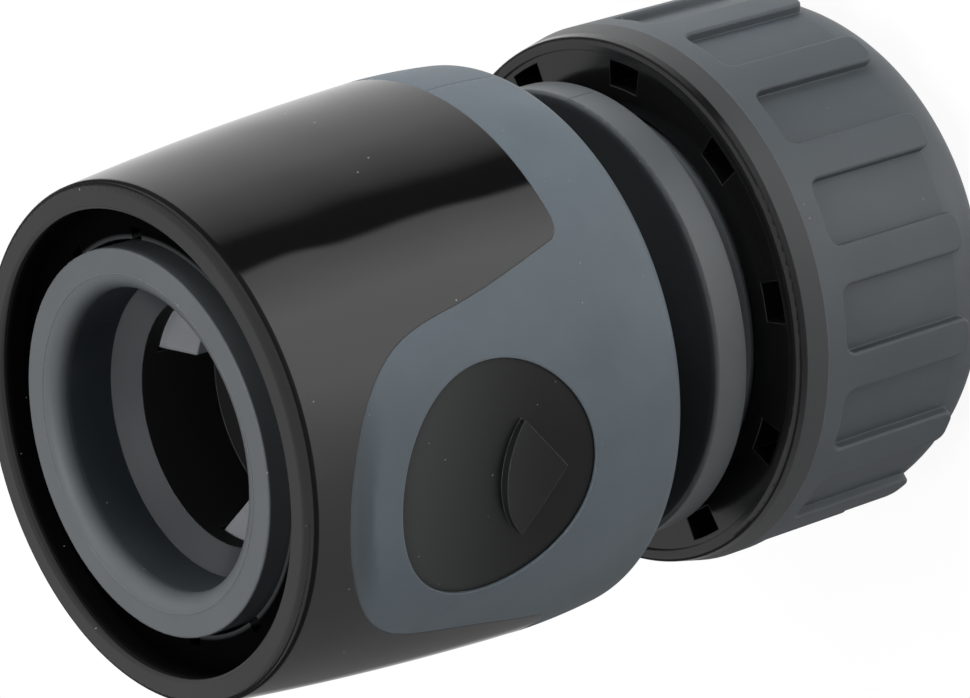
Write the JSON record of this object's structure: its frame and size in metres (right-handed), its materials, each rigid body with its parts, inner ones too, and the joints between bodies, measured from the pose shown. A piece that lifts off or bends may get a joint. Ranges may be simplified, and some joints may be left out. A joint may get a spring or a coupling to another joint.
{
  "type": "garden hose quick connector",
  "caption": "Round garden hose quick connector: push-in socket with a spring-loaded pull-back sleeve and locking claws, and a threaded clamping nut for the hose end.",
  "frame": {"origin": "on the axis, in the plane of the nut's rear face, on which the part stands", "axes": "+Z along the axis from the hose end to the mouth of the socket; +X through the middle of one thumb pad, -X through the other; +Y completes a right-handed frame"},
  "size_m": [0.0404, 0.0404, 0.064],
  "materials": {
    "grey_hard": "semi-gloss hard grey plastic",
    "gloss_black": "high-gloss black plastic",
    "soft_grey": "matte soft-touch slate grey",
    "claw_grey": "satin light grey plastic",
    "spring_steel": "drawn stainless wire",
    "satin_black": "satin black plastic"
  },
  "bodies": {
    "inner": {"inner_body": "grey_hard"},
    "spring": {"return_spring": "spring_steel"},
    "sleeve": {"sleeve_core": "gloss_black", "sleeve_grip": "soft_grey", "front_ring": "gloss_black"},
    "claw_1_piece": {"claw_1": "claw_grey"},
    "claw_2_piece": {"claw_2": "claw_grey"},
    "claw_3_piece": {"claw_3": "claw_grey"},
    "collet": {"clamp_ring": "satin_black"},
    "nut": {"nut_core": "satin_black", "nut_grip": "soft_grey"}
  },
  "joints": [
    {"name": "sleeve_slide", "type": "slide", "parent": "inner", "child": "spring", "axis": [0, 0, -1], "range_m": [0, 0.0045], "stiffness_N_per_m": 1000, "springref_m": -0.01, "deforming": ["return_spring"]},
    {"name": "sleeve_spin", "type": "hinge", "parent": "spring", "child": "sleeve", "pos_m": [0, 0, 0.048], "axis": [0, 0, 1], "continuous": true},
    {"name": "claw_1_slide", "type": "slide", "parent": "inner", "child": "claw_1_piece", "axis": [0.829, 0.5592, 0], "range_m": [0, 0.00165]},
    {"name": "claw_2_slide", "type": "slide", "parent": "inner", "child": "claw_2_piece", "axis": [-0.8988, 0.4384, 0], "range_m": [0, 0.00165]},
    {"name": "claw_3_slide", "type": "slide", "parent": "inner", "child": "claw_3_piece", "axis": [0.0698, -0.9976, 0], "range_m": [0, 0.00165]},
    {"name": "nut_advance", "type": "slide", "parent": "inner", "child": "collet", "axis": [0, 0, 1], "range_m": [-0.0061, 0]},
    {"name": "nut_turn", "type": "hinge", "parent": "collet", "child": "nut", "pos_m": [0, 0, 0.011], "axis": [0, 0, 1], "range_deg": [-720, 0]}
  ],
  "couplings": [
    {"joint": "claw_1_slide", "follows": "sleeve_slide", "ratio": 0.35556},
    {"joint": "claw_2_slide", "follows": "sleeve_slide", "ratio": 0.35556},
    {"joint": "claw_3_slide", "follows": "sleeve_slide", "ratio": 0.35556},
    {"joint": "nut_advance", "follows": "nut_turn", "m_per_rad": 0.00047746}
  ]
}
